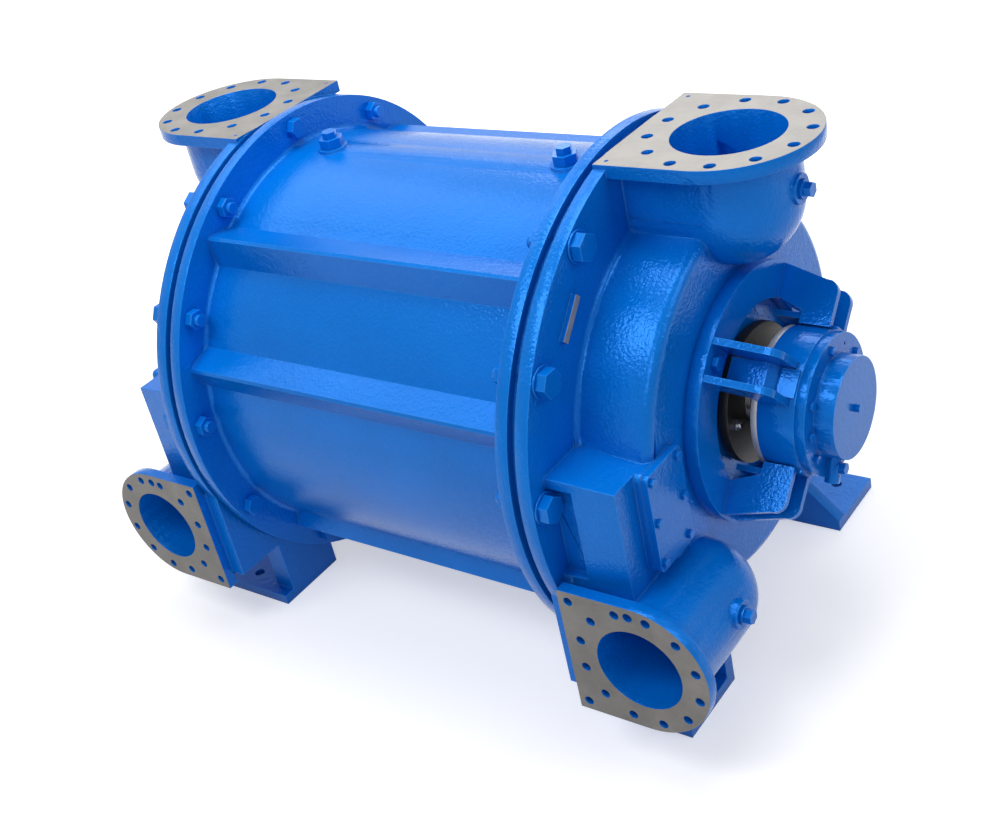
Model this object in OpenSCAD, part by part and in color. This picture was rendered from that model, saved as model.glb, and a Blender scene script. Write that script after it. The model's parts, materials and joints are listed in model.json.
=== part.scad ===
// Two-ended liquid ring vacuum pump, millimetres.
// The origin is on the floor at the centre of the foot bolts, +X runs along
// the shaft to the non-drive end, +Z is up and the discharges face -Y.
// Both ends are built at the non-drive end and mirrored to the drive end.

/* [Setting] */
// Height of the shaft axis above the floor
shaft_h = 655; // [645:1:720]
// Distance of the shaft axis in front of the foot centre line
shaft_offset = 40; // [30:1:50]

/* [Body] */
// Outer radius of the barrel
barrel_r = 540; // [535:1:550]
// Radius of the body and head flanges
rim_r = 629; // [626:1:636]
// Half length of the body over its flanges
body_half = 516; // [506:1:530]
// Thickness of the body flanges
body_flange_t = 31; // [26:1:36]
// Height of the raised face on the body and head flanges
raised_h = 8.5; // [6:0.5:10]
// Radius of the raised faces
raised_r = 608; // [606:1:612]
// Radius of each of the two lobes of the bore
lobe_r = 445; // [441:1:452]
// Sideways shift of each lobe
lobe_shift = 45; // [38:1:52]
// Height of the upper lengthwise ridges above the barrel
ridge_h = 56; // [45:1:62]
// Width of the blunt edge of a ridge
ridge_land = 9; // [5:1:14]

/* [Flange joints] */
// Radius of the circle of the flange bolts
flange_bolt_pcr = 590; // [588:1:592]
// Diameter of the flange bolts
flange_bolt_d = 30; // [24:1:32]
// Width across flats of the flange bolt heads
flange_head_af = 58; // [50:1:62]
// Width across flats of the flange nuts
flange_nut_af = 46; // [42:1:52]
// Height of the flange bolt heads
flange_head_h = 24; // [18:1:28]
// Outer diameter of the flange washers
flange_washer_d = 74; // [66:1:76]
// Thickness of the flange washers
flange_washer_t = 5; // [3:0.5:7]
// Thickness of the head gaskets
head_gasket_t = 2; // [1:0.5:3]

/* [Heads] */
// Thickness of the head flanges
head_flange_t = 33; // [28:1:38]
// Outer radius of the head drum
drum_r = 450; // [446:1:456]
// Length of the drum beyond the head flange
drum_l = 179; // [172:1:186]
// Rounding of the front edge of the drum
drum_edge_r = 26; // [15:1:32]
// Wall of the castings round the passages
wall = 25; // [20:1:28]

/* [Inlets] */
// Distance of the inlet centres from mid-length
inlet_x = 753; // [745:1:760]
// Height of the inlet faces above the shaft axis
inlet_h = 620; // [610:1:640]
// Radius of the inlet flanges
inlet_flange_r = 202.5; // [200:0.5:206]
// Thickness of the inlet flanges
inlet_flange_t = 31; // [26:1:34]
// Distance of the straight inlet flange edge from the centre
inlet_edge = 216; // [208:1:222]
// Diameter of the inlet bores
inlet_bore_d = 250; // [240:1:254]
// Diameter of the inlet bolt circle
inlet_pcd = 355; // [350:1:360]
// Diameter of the inlet bolt holes
inlet_hole_d = 26; // [22:1:28]
// Outer radius of the inlet necks
neck_r = 150; // [148:1:153]
// Drop of the neck elbow centre below the inlet face
elbow_drop = 146; // [140:1:152]

/* [Discharges] */
// Distance of the discharge centres from mid-length
discharge_x = 757; // [750:1:762]
// Distance of the discharge faces from the shaft axis
discharge_reach = 621; // [612:1:632]
// Drop of the discharge centres below the shaft axis
discharge_drop = 335; // [330:1:340]
// Radius of the discharge flanges
discharge_flange_r = 170; // [168:0.5:173]
// Thickness of the discharge flanges
discharge_flange_t = 30; // [26:1:34]
// Distance of the straight discharge flange edge from the centre
discharge_edge = 181; // [175:1:186]
// Diameter of the discharge bores
discharge_bore_d = 210; // [204:1:214]
// Diameter of the discharge bolt circle
discharge_pcd = 295; // [292:1:299]
// Diameter of the discharge bolt holes
discharge_hole_d = 22; // [18:1:24]
// Outer radius of the discharge pipes
pipe_r = 133; // [131:1:135]
// Distance of the closed end of the pipe from the shaft axis
pipe_back = 350; // [340:1:356]

/* [Feet] */
// Distance of the foot holes from mid-length
foot_hole_x = 690; // [680:1:700]
// Distance of the foot holes from the foot centre line
foot_hole_y = 470; // [460:1:480]
// Diameter of the foot holes
foot_hole_d = 28; // [22:1:34]
// Outer end of the feet from mid-length
foot_end = 768; // [760:1:775]
// Outer side of the feet from the foot centre line
foot_side = 525; // [515:1:532]
// Inner side of the feet from the foot centre line
foot_inner = 310; // [302:1:318]
// Thickness of the foot plates
foot_t = 30; // [24:1:36]
// Thickness of the foot webs
foot_web_t = 34; // [26:1:40]

/* [Bearing brackets] */
// Radius of the bracket ring
ring_r = 305; // [302:1:309]
// Thickness of the bracket ring
ring_t = 35; // [30:1:38]
// Radius of the opening in the bracket ring
window_r = 218; // [213:1:222]
// Distance over the two plates of an arm
arm_w = 100; // [92:1:108]
// Thickness of the arm plates
arm_t = 16; // [12:1:20]
// Radius of the bearing housing
housing_r = 165; // [160:1:170]
// Length of the bearing housing
housing_l = 88; // [86:1:94]
// Distance from the ring to the bearing housing
throat_l = 68; // [64:1:72]

/* [Bearings] */
// Bore of the bearings
bearing_d = 110; // [106:1:114]
// Outer diameter of the bearings
bearing_od = 240; // [236:1:246]
// Width of the bearings
bearing_w = 80; // [76:1:82]
// Rollers in each of the two rows of a bearing
roller_count = 14; // [10:1:16]
// Thickness of the flange of the outer bearing cap
cap_flange_t = 24; // [20:1:28]
// Radius of the domed middle of the outer bearing cap
cap_r = 117; // [114:1:120]
// Length of the domed middle of the outer bearing cap
cap_l = 46; // [42:1:52]
// Thickness of the flange of the inner bearing cap
inner_cap_t = 16; // [13:1:20]

/* [Rotor] */
// Radius of the impeller
impeller_r = 432; // [424:1:434]
// Number of impeller blades
blade_count = 16; // [12:1:20]
// Thickness of the impeller blades
blade_t = 14; // [10:1:18]
// Radius of the shaft under the impeller
shaft_r = 80; // [76:1:84]
// Outer radius of the shaft sleeves
sleeve_r = 80; // [77:1:82]
// Diameter of the drive end of the shaft
drive_d = 100; // [90:1:102]
// Length of the drive end outside the bearing cap
drive_l = 190; // [150:1:210]

/* [Port cones] */
// Outer radius of the port cone at its flange
cone_base_r = 285; // [280:1:290]
// Outer radius of the port cone at its tip
cone_tip_r = 225; // [218:1:232]
// Length of the port cone inside the impeller
cone_l = 276; // [260:1:290]
// Wall of the port cone
cone_wall = 14; // [11:1:17]
// Radial gap between the port cone and the impeller
cone_gap = 2; // [1:0.5:4]

/* [Hidden] */
$fn = 96;

// Colours
blue = "#0a5fc4";
ground_grey = "#b8b4ae";
steel_grey = "#8d8f92";
dark_grey = "#3b3b3d";
bronze = "#a9864e";
gasket_grey = "#55585a";

// Overrun of every cut and gap of every fit
over = 1;
fit = 0.05;
seat_gap = 0.2;
edge = 3;

// Axial stations, from mid-length to the non-drive end
body_face = body_half + raised_h;
head_face = body_face + head_gasket_t;
flange_x = head_face + raised_h;
head_front = flange_x + head_flange_t;
drum_x = head_front + drum_l;
ring_x = drum_x + ring_t;
housing_x = ring_x + throat_l;
housing_end = housing_x + housing_l;
cap_x = housing_end + cap_flange_t;
cap_end = cap_x + cap_l;
bearing_mid = (housing_x + housing_end) / 2;
bearing_in = bearing_mid - bearing_w / 2;
bearing_out = bearing_mid + bearing_w / 2;

// Flange bolts: places round the rim, in degrees from +Y towards the top
box_bolt_angle = 177;
through_bolt_angles = [7, 30, 61, 121.5, 150, box_bolt_angle, 270, 334];
blind_bolt_angles = [91, 206, 238, 302];
flange_bolt_angles = concat(through_bolt_angles, blind_bolt_angles);
blind_bolt_deep = 26;
spot_gap = 4;
spot_l = 60;
spot_in = flange_bolt_pcr - flange_washer_d / 2 - spot_gap;
flange_hole_gap = 3;
flange_hole_d = flange_bolt_d + flange_hole_gap;
flange_nut_h = 22;
bolt_tail = 12;

// Ridges: start, crest and end in degrees, height as a share of ridge_h
ridge_shares = [[124, 130.3, 135.6, 1], [157.1, 162.6, 168.3, 0.93], [223.6, 227, 232.5, 0.74]];
back_ridge_shares = [[124, 130.3, 135.6, 0.66], [157.1, 162.6, 168.3, 0.93], [223.6, 227, 232.5, 0.74]];
ridge_root = 60;
barrel_cove_r = 12;

// Body plugs
plug_x = 360;
plug_lean = 1.2;
plug_boss_r = 38;
plug_boss_h = 8;
bushing_af = 55;
bushing_h = 24;
bushing_tail_r = 21;
bushing_tail_l = 34;
plug_af = 34;
plug_h = 16;
plug_tail_r = 13;
plug_tail_l = 30;

// Passages in the heads
elbow_h = inlet_h - elbow_drop;
hub_r = 178;
duct_r = 280;
partition_t = 20;
front_wall = wall;
chamber_x = drum_x - front_wall;
split_share = 0.45;
split_x = head_front + drum_l * split_share;
back_x = head_front + partition_t;
port_in_r = 190;
port_span = 66;
suction_angles = [135, 315];
discharge_angles = [45, 225];
drum_cove_r = 14;
elbow_angle = 90;
elbow_span = 56;
branch_angle = 210;
branch_span = 90;

// Hand-hole box on the front of the drum
box_set_back = 14;
box_x = drum_x - box_set_back;
box_inner = 50;
box_front = 560;
box_top = 80;
box_bottom = 210;
box_back = 300;
box_draft_y = 15;
box_draft_z = 18;
spot_bottom = discharge_flange_r + spot_gap - discharge_drop;
pad_t = 16;
pad_y = 417;
pad_z = -45;
pad_w = 142;
pad_h = 250;
pad_r = 14;
hole_w = 92;
hole_h = 190;
handhole_gasket_t = 2;
cover_t = 16;
cover_bolt_d = 12;
cover_bolt_af = 19;
cover_bolt_h = 8;
cover_bolt_l = 14;
cover_bolt_y = 54;
cover_bolt_z = 104;

// Raised lug on the head flange
lug_in = 91;
lug_r = rim_r - lug_in;
lug_angle = 135.8;
lug_l = 104;
lug_w = 19;
lug_h = 12;

// Neck and discharge plugs
side_boss_r = 34;
side_boss_h = 8;
side_plug_af = 30;
side_plug_h = 17;
side_collar_r = 22;
side_collar_h = 7;
side_tail_r = 12;
side_tail_l = 22;
neck_plug_drop = 120;
neck_plug_h = inlet_h - neck_plug_drop;
pipe_plug_y = 400;
pipe_plug_drop = 310;

// Extra holes in the ground faces
corner_hole_d = 9;
corner_hole_in = 22;
corner_hole_deep = 16;
lug_hole_d = 22;
lug_hole_in = 26;
extra_hole_angle = 92;
extra_hole_in = 2;
branch_hole_count = 12;

// Feet
foot_back_x = flange_x;
foot_end_wall = 62;
foot_slope_h = 116;
foot_rise = 250;
foot_front_rise = shaft_h - discharge_drop - pipe_r + foot_web_t;

// Stuffing box
box_bore_r = 105;
box_deep = 150;
gland_r = 165;
gland_t = 22;
gland_stand = 10;
gland_nose = 20;
gland_bore_gap = 1.5;
gland_stud_r = 140;
gland_stud_d = 16;
gland_stud_tail = 18;
gland_nut_af = 24;
gland_nut_h = 13;
packing_gap = 0.3;
packing_w = 20;
packing_count = 4;
lantern_w = 24;
lantern_r = 97;
neck_bush_r = 90;

// Bracket
arm_angles = [45, 135, 225, 315];
arm_tip_step = 7;
arm_tip_r = ring_r - arm_tip_step;
arm_shoulder_l = 108;
arm_shoulder_x = ring_x + arm_shoulder_l;
arm_shoulder_r = 270;
arm_nose_step = 14;
arm_nose_x = housing_end - arm_nose_step;
arm_corner_r = 30;
arm_corner_x = arm_nose_x - arm_corner_r;
arm_corner_top = 240;
arm_throat_r = 192;
web_r = 190;
web_t = 14;
web_over = 20;
web_slope = 22;
web_end = housing_x + web_over;
web_foot = web_end + web_slope;
bracket_bolt_pcr = 264;
bracket_bolt_d = 20;
bracket_bolt_af = 30;
bracket_bolt_h = 13;
bracket_bolt_l = 52;
housing_pad_l = 44;
housing_pad_h = 5;

// Bearing
housing_bore_r = bearing_od / 2 + fit;
inner_race_r = 76;
outer_race_r = 103;
roller_l = 30;
roller_gap = 0.3;
cage_t = 9;
cage_in_r = 84;
cage_out_r = 95;
roller_r = (outer_race_r - inner_race_r) / 2 - fit;
roller_pcr = (outer_race_r + inner_race_r) / 2;
row_x = (roller_l + cage_t) / 2 + roller_gap;

// Bearing caps
cap_flange_r = 163.5;
cap_draft = 2;
cap_wall = 14;
cap_cavity_r = 104;
cap_spigot = (housing_l - bearing_w) / 2 - seat_gap;
cap_bolt_angles = [0, 30, 90, 150, 180, 210, 270, 330];
cap_bolt_pcr = 138;
cap_bolt_d = 12;
cap_bolt_af = 18;
cap_bolt_h = 8;
cap_bolt_l = 46;
jack_angles = [60, 120];
jack_hole_d = 9;
cap_plug_d = 12;
cap_plug_af = 17;
cap_plug_h = 12;
cap_plug_l = 8;
drain_angle = 245;
drain_x = 10;
drain_r = 17;
drain_pad_r = 16;
drain_out = 12;
drain_plug_in = 24;
drain_af = 24;
drain_h = 14;
drain_tail_r = 8;
drain_tail_l = 14;
inner_cap_r = 163;
seal_r = 66;
seal_t = 12;
seal_gap = 0.3;

// Shaft
cone_reach = head_face - cone_l;
shaft_step = 2;
shaft_mid_r = shaft_r - shaft_step;
sleeve_seat_r = 65;
shoulder_r = 62;
bearing_r = bearing_d / 2;
thread_step = 3;
thread_r = bearing_r - thread_step;
sleeve_in = 8;
sleeve_x = head_front - sleeve_in;
sleeve_gap = 8;
sleeve_end = housing_x - inner_cap_t - sleeve_gap;
nut_t = 20;
nut_r = 70;
lockwasher_t = 2;
nut_slots = 4;
nut_slot_w = 9;
nut_slot_d = 5;
thread_tail = 12;
thread_end = bearing_out + nut_t + lockwasher_t + thread_tail;
drive_end = cap_end + drive_l;
drive_start = cap_end + 2 * over;
centre_r = 8;
key_w = 28;
key_h = 16;
key_l = 150;
key_depth = 10;
key_inset = 18;
key_angle = 38;
slinger_r = 108;
slinger_t = 8;
slinger_hub_r = 92;
slinger_hub_l = 12;
slinger_x = sleeve_end - slinger_hub_l - slinger_t;

// Impeller
end_gap = 1.5;
impeller_half = head_face - end_gap;
impeller_hub_r = 170;
tip_gap = 8;
impeller_hub_half = cone_reach - tip_gap;
web_half = 11;
shroud_t = 12;
shroud_in_r = 330;
blade_root_r = 120;
blade_curve_r = 300;
blade_centre_r = 350;
blade_turn = 4;
blade_tip_step = 1;

// Port cone
cone_flange_r = 322;
cone_flange_t = 20;
cone_recess = cone_flange_t + fit;
cone_tube_r = 95;
cone_tube_t = 12;
cone_tip_t = 16;
cone_rib_t = 12;
cone_rib_angles = [0, 90, 180, 270];
cone_port_x = 60;
cone_port_l = 150;
cone_port_span = 52;
cone_screw_count = 8;
cone_screw_pcr = 309;
cone_screw_d = 12;
cone_screw_l = 34;
cone_screw_head_r = 9;
cone_screw_head_h = 7;

function polar(r, a) = [r * cos(a), r * sin(a)];
function arc(centre, r, a0, a1, n) =
    [for (i = [0 : n]) centre + polar(r, a0 + (a1 - a0) * i / n)];
function hex_r(af) = af / 2 / cos(30);

// Places the children on the shaft axis
module on_axis() translate([0, -shaft_offset, shaft_h]) children();

// Places the children at the non-drive end
module at_nde() on_axis() children();

// Places the children at the drive end
module at_de() on_axis() mirror([1, 0, 0]) children();

// Places the children at both ends
module at_both() {
    at_nde() children();
    at_de() children();
}

// Straight round bar along X from x0 to x1
module rod(r, x0, x1) translate([x0, 0, 0]) rotate([0, 90, 0]) cylinder(r = r, h = x1 - x0);

// Hexagon bar along X from x0 to x1
module hex_rod(af, x0, x1)
    translate([x0, 0, 0]) rotate([0, 90, 0]) cylinder(r = hex_r(af), h = x1 - x0, $fn = 6);

// Tube along X from x0 to x1
module tube(r, bore, x0, x1) difference() {
    rod(r, x0, x1);
    rod(bore, x0 - over, x1 + over);
}

// Hollow corner of radius c round a bar of radius r, against a face at x
module cove(r, c, x) translate([x, 0, 0]) rotate([0, 90, 0]) rotate_extrude() difference() {
    translate([r - over, -over]) square([c + over, c + over]);
    translate([r + c, c]) circle(c);
}

// Taper along X from radius r0 at x0 to radius r1 at x1
module taper(r0, r1, x0, x1)
    translate([x0, 0, 0]) rotate([0, 90, 0]) cylinder(r1 = r0, r2 = r1, h = x1 - x0);

// Extrudes a Y-Z outline along X from x0 to x1
module along_x(x0, x1) translate([x0, 0, 0]) rotate([90, 0, 90]) linear_extrude(x1 - x0) children();

// Moves the children out to radius r at angle a round the shaft axis
module around(r, a) rotate([a, 0, 0]) translate([0, r, 0]) children();

// Wedge of angle span centred on angle a, reaching radius r
module wedge(r, a, span) polygon([[0, 0], polar(r, a - span / 2), polar(r, a), polar(r, a + span / 2)]);

// Rounded rectangle centred on the origin
module round_plate(w, h, r) {
    square([w - 2 * r, h], center = true);
    square([w, h - 2 * r], center = true);
    for (x = [-1, 1], y = [-1, 1]) translate([x * (w / 2 - r), y * (h / 2 - r)]) circle(r);
}

// Half-round plate with a straight edge on the -X side
module d_plate(r, straight) {
    circle(r);
    translate([-straight, -r]) square([straight, 2 * r]);
}

// Ridge outline between two angles on the barrel, with a blunt crest
module ridge(a0, crest, a1, h) {
    land = ridge_land / (barrel_r + h) * 90 / PI;
    polygon([
        polar(barrel_r - ridge_root, crest), polar(barrel_r - over, a0),
        polar(barrel_r + h, crest - land), polar(barrel_r + h, crest + land), polar(barrel_r - over, a1)]);
}

module ridges(shares) for (s = shares) ridge(s[0], s[1], s[2], ridge_h * s[3]);

// Body casing
module body_casing() color(blue) on_axis() difference() {
    union() {
        rod(barrel_r, -body_half, body_half);
        for (s = [-1, 1]) mirror([(s + 1) / 2, 0, 0]) {
            rod(rim_r, body_half - body_flange_t, body_half);
            rod(raised_r, body_half - over, body_face);
            mirror([1, 0, 0]) cove(barrel_r, barrel_cove_r, body_flange_t - body_half);
        }
        along_x(-body_half + edge, body_half - edge) {
            ridges(ridge_shares);
            mirror([1, 0, 0]) ridges(back_ridge_shares);
        }
        for (x = [-plug_x, plug_x]) translate([x, 0, 0]) rotate([plug_lean, 0, 0])
            cylinder(r = plug_boss_r, h = barrel_r + plug_boss_h);
    }
    for (y = [-lobe_shift, lobe_shift]) translate([0, y, 0])
        rod(lobe_r, -body_face - over, body_face + over);
    for (a = flange_bolt_angles) around(flange_bolt_pcr, a)
        for (s = [0, 1]) mirror([s, 0, 0])
            rod(flange_hole_d / 2, body_half - body_flange_t - over, body_face + over);
    for (x = [-plug_x, plug_x]) translate([x, 0, 0]) rotate([plug_lean, 0, 0])
        cylinder(r = bushing_tail_r + fit, h = barrel_r + plug_boss_h + over);
}

// Blind cylinder of a body plug station, at height z above the shaft axis
module plug_station() for (x = [-plug_x, plug_x]) on_axis() translate([x, 0, 0])
    rotate([plug_lean, 0, 0]) translate([0, 0, barrel_r + plug_boss_h]) children();

// Hexagon bushings on top of the body
module body_bushings() color(blue) plug_station() difference() {
    union() {
        cylinder(r = hex_r(bushing_af), h = bushing_h, $fn = 6);
        translate([0, 0, -bushing_tail_l]) cylinder(r = bushing_tail_r, h = bushing_tail_l + over);
    }
    translate([0, 0, -bushing_tail_l - over])
        cylinder(r = plug_tail_r + fit, h = bushing_tail_l + bushing_h + 2 * over);
}

// Hexagon plugs in the bushings
module body_plugs() color(blue) plug_station() translate([0, 0, bushing_h]) {
    cylinder(r = hex_r(plug_af), h = plug_h, $fn = 6);
    translate([0, 0, -plug_tail_l]) cylinder(r = plug_tail_r, h = plug_tail_l + over);
}

// Gaskets between body and heads
module head_gaskets() color(gasket_grey) at_both() difference() {
    rod(raised_r, body_face, head_face);
    for (y = [-lobe_shift, lobe_shift]) translate([0, y, 0])
        rod(lobe_r, body_face - over, head_face + over);
    for (a = flange_bolt_angles) around(flange_bolt_pcr, a)
        rod(flange_hole_d / 2, body_face - over, head_face + over);
}

// Drum of a head with its rounded front edge
module drum() rotate([0, 90, 0]) rotate_extrude() {
    translate([0, flange_x]) square([drum_r, drum_x - drum_edge_r - flange_x]);
    translate([0, flange_x]) square([drum_r - drum_edge_r, drum_x - flange_x]);
    translate([drum_r - drum_edge_r, drum_x - drum_edge_r]) circle(drum_edge_r);
}

// Inlet neck, its elbow and its flange
module inlet_casting() translate([inlet_x, shaft_offset, 0]) {
    translate([0, 0, elbow_h]) {
        linear_extrude(inlet_h - inlet_flange_t - elbow_h + over)
            d_plate(neck_r, inlet_x - flange_x);
        intersection() {
            union() {
                sphere(neck_r);
                rod(neck_r - fit, flange_x - inlet_x, 0);
            }
            translate([flange_x - inlet_x, -neck_r, -neck_r])
                cube([inlet_x - flange_x + neck_r, 2 * neck_r, neck_r + over]);
        }
    }
    translate([0, 0, inlet_h - inlet_flange_t]) linear_extrude(inlet_flange_t)
        d_plate(inlet_flange_r, inlet_edge);
    translate([0, 0, neck_plug_h]) rod(side_boss_r, neck_r - side_boss_h, neck_r + side_boss_h);
}

// Discharge pipe, its closed end and its flange
module discharge_casting() translate([discharge_x, 0, -discharge_drop]) {
    rotate([90, 0, 0]) translate([0, 0, pipe_back])
        linear_extrude(discharge_reach - discharge_flange_t - pipe_back + over)
            d_plate(pipe_r, discharge_x - flange_x);
    translate([0, -pipe_back, 0]) {
        sphere(pipe_r);
        rod(pipe_r - fit, flange_x - discharge_x, 0);
    }
    rotate([90, 0, 0]) translate([0, 0, discharge_reach - discharge_flange_t])
        linear_extrude(discharge_flange_t) d_plate(discharge_flange_r, discharge_edge);
    translate([0, -pipe_plug_y, discharge_drop - pipe_plug_drop])
        rod(side_boss_r, pipe_r - 2 * side_boss_h, pipe_r + side_boss_h);
}

// Riser from the closed end of the discharge pipe to the drum
module discharge_riser(r) {
    lean = atan2(discharge_drop, pipe_back);
    along_x(flange_x, discharge_x - pipe_r / 2) rotate([0, 0, lean])
        translate([-norm([pipe_back, discharge_drop]), -r]) square([pipe_back / 2, 2 * r]);
}

// Hand-hole box, narrowing away from the flange
module handhole_box() {
    intersection() {
        translate([0, -box_back, 0]) rotate([90, 0, 0]) linear_extrude(box_front + box_draft_y - box_back)
            polygon([[flange_x, -box_bottom], [box_x, -box_bottom], [box_x, box_top],
                [flange_x, box_top + box_draft_z]]);
        translate([0, 0, -box_bottom]) linear_extrude(box_bottom + box_top + box_draft_z)
            polygon([[flange_x, -box_back], [box_x, -box_back], [box_x, -box_front],
                [flange_x, -box_front - box_draft_y]]);
    }
    translate([box_x - over, -pad_y, pad_z]) rotate([90, 0, 90]) linear_extrude(pad_t + over)
        round_plate(pad_w, pad_h, pad_r);
}

// Outline of the web of a foot, sloping down to its outer end or full height
module foot_web(sloped) polygon(sloped
    ? [[foot_back_x, 0], [foot_end, 0], [foot_end, foot_t + edge],
        [foot_end - foot_slope_h, foot_slope_h + foot_t], [foot_end - foot_slope_h, foot_rise],
        [foot_back_x, foot_rise]]
    : [[foot_back_x, 0], [foot_end, 0], [foot_end, foot_front_rise], [foot_back_x, foot_front_rise]]);

// Two feet of a head: plate, end wall and side web
module feet() translate([0, shaft_offset, -shaft_h]) for (s = [0, 1]) mirror([0, s, 0]) {
    difference() {
        translate([foot_back_x, foot_inner, 0])
            cube([foot_end - foot_back_x, foot_side - foot_inner, foot_t]);
        translate([foot_hole_x, foot_hole_y, -over]) cylinder(r = foot_hole_d / 2, h = foot_t + 2 * over);
    }
    translate([foot_back_x, foot_inner, 0])
        cube([foot_end_wall, foot_side - foot_inner - foot_web_t, foot_rise]);
    translate([0, foot_inner + foot_web_t, 0]) rotate([90, 0, 0]) linear_extrude(foot_web_t)
        foot_web(s == 0);
}

// Suction passage of a head
module suction_passage() {
    translate([inlet_x, shaft_offset, elbow_h]) {
        cylinder(r = inlet_bore_d / 2, h = inlet_h - elbow_h + over);
        sphere(inlet_bore_d / 2);
        rod(inlet_bore_d / 2 - fit, split_x + partition_t - inlet_x, 0);
    }
    difference() {
        tube(drum_r - wall, hub_r, split_x + partition_t, chamber_x);
        along_x(split_x, drum_x) wedge(2 * drum_r, branch_angle, branch_span);
    }
    for (a = suction_angles) port_duct(a, duct_r, split_x + partition_t + over);
}

// Discharge passage of a head
module discharge_passage() {
    translate([discharge_x, -pipe_back, -discharge_drop]) {
        rotate([90, 0, 0]) cylinder(r = discharge_bore_d / 2, h = discharge_reach - pipe_back + over);
        sphere(discharge_bore_d / 2);
        rod(discharge_bore_d / 2 - fit, back_x - discharge_x, 0);
    }
    difference() {
        tube(drum_r - wall, duct_r + partition_t, back_x, split_x);
        along_x(head_front, split_x + over) wedge(2 * drum_r, elbow_angle, elbow_span);
    }
    for (a = discharge_angles) port_duct(a, duct_r + partition_t + over, split_x);
}

// Duct from the port cone into a passage
module port_duct(a, r, x1) intersection() {
    tube(r, port_in_r, head_face - over, x1);
    along_x(head_face - over, x1) wedge(2 * r, a, port_span);
}

// Head with its drum, branches, hand-hole box and feet
module head() difference() {
    union() {
        rod(raised_r, head_face, flange_x + over);
        rod(rim_r, flange_x, head_front);
        drum();
        cove(drum_r, drum_cove_r, head_front);
        inlet_casting();
        discharge_casting();
        discharge_riser(pipe_r - wall / 2);
        handhole_box();
        feet();
        rotate([lug_angle, 0, 0]) translate([head_front - over, lug_r - lug_w / 2, -lug_l / 2])
            cube([lug_h + over, lug_w, lug_l]);
    }
    translate([head_face - over, -rim_r, inlet_h])
        cube([inlet_x - head_face, 2 * rim_r, rim_r - inlet_h + over]);
    suction_passage();
    discharge_passage();
    rod(cone_flange_r + fit, head_face - over, head_face + cone_recess);
    rod(neck_bush_r, head_face - over, drum_x + over);
    rod(box_bore_r, drum_x - box_deep, drum_x + over);
    handhole_cut();
    for (a = through_bolt_angles) around(flange_bolt_pcr, a) {
        rod(flange_hole_d / 2, head_face - over, head_front + over);
        rod(flange_washer_d / 2 + spot_gap, head_front, head_front + spot_l);
    }
    translate([head_front, -rim_r, spot_bottom])
        cube([spot_l, rim_r - spot_in, flange_bolt_pcr * sin(box_bolt_angle) - spot_bottom]);
    for (a = blind_bolt_angles) around(flange_bolt_pcr, a)
        rod(flange_bolt_d / 2 + fit, head_face - over, head_face + blind_bolt_deep + over);
    for (i = [0 : cone_screw_count - 1]) around(cone_screw_pcr, (i + 0.5) * 360 / cone_screw_count)
        rod(cone_screw_d / 2 + fit, head_face, head_face + cone_screw_l + over);
    for (a = arm_angles) around(bracket_bolt_pcr, a)
        rod(bracket_bolt_d / 2 + fit, drum_x - bracket_bolt_l + ring_t - over, drum_x + over);
    for (a = [0, 180]) around(gland_stud_r, a)
        rod(gland_stud_d / 2 + fit, drum_x - gland_stud_tail - over, drum_x + over);
    branch_holes();
}

// Hollow of the hand-hole box and its bolt holes
module handhole_cut() {
    translate([back_x, -box_front + wall, -box_bottom + wall])
        cube([chamber_x - back_x, box_front + box_inner - drum_r, box_top + box_bottom - 2 * wall]);
    translate([0, -pad_y, pad_z]) {
        along_x(chamber_x - over, box_x + pad_t + over) square([hole_w, hole_h], center = true);
        cover_places() rod(cover_bolt_d / 2 + fit, box_x + pad_t - cover_bolt_l, box_x + pad_t + over);
    }
}

// Places of the six cover bolts
module cover_places() for (y = [-1, 1], z = [-1, 0, 1])
    translate([0, y * cover_bolt_y, z * cover_bolt_z]) children();

// Turns of a branch flange's bolt circle, with no hole on its centre lines
module branch_circle() for (i = [0 : branch_hole_count - 1])
    rotate([0, 0, (i + 0.5) * 360 / branch_hole_count]) children();

// Bolt holes of the inlet and discharge flanges and the plug holes
module branch_holes() {
    translate([inlet_x, shaft_offset, inlet_h]) {
        branch_circle() translate([inlet_pcd / 2, 0, 0]) hole(inlet_hole_d, inlet_flange_t);
        for (s = [-1, 1]) translate([corner_hole_in - inlet_edge, s * (inlet_flange_r - corner_hole_in), 0])
            hole(corner_hole_d, corner_hole_deep - over);
        translate([neck_r, 0, -neck_plug_drop])
            rod(side_tail_r + fit, -wall - over, side_boss_h + over);
    }
    translate([discharge_x, -discharge_reach, -discharge_drop]) rotate([90, 0, 0]) {
        branch_circle() translate([discharge_pcd / 2, 0, 0]) hole(discharge_hole_d, discharge_flange_t);
        for (s = [-1, 1]) translate([lug_hole_in - discharge_edge, s * (discharge_flange_r - lug_hole_in), 0])
            hole(lug_hole_d, discharge_flange_t);
        translate(polar(discharge_pcd / 2 - extra_hole_in, extra_hole_angle)) hole(discharge_hole_d, discharge_flange_t);
    }
    translate([discharge_x + pipe_r, -pipe_plug_y, -pipe_plug_drop])
        rod(side_tail_r + fit, -wall - over, side_boss_h + over);
}

// Round hole down from a face
module hole(d, deep) translate([0, 0, -deep - over]) cylinder(r = d / 2, h = deep + 2 * over);

module head_nde() color(blue) at_nde() head();

module head_de() color(blue) at_de() head();

// Collared hexagon plug along X, seated at the origin
module side_plug() {
    rod(side_collar_r, 0, side_collar_h);
    hex_rod(side_plug_af, side_collar_h - over, side_collar_h + side_plug_h);
    rod(side_tail_r, -side_tail_l, over);
}

module neck_plugs() color(blue) at_both()
    translate([inlet_x + neck_r + side_boss_h, shaft_offset, neck_plug_h]) side_plug();

module discharge_plugs() color(blue) at_both()
    translate([discharge_x + pipe_r + side_boss_h, -pipe_plug_y, -pipe_plug_drop]) side_plug();

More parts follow.
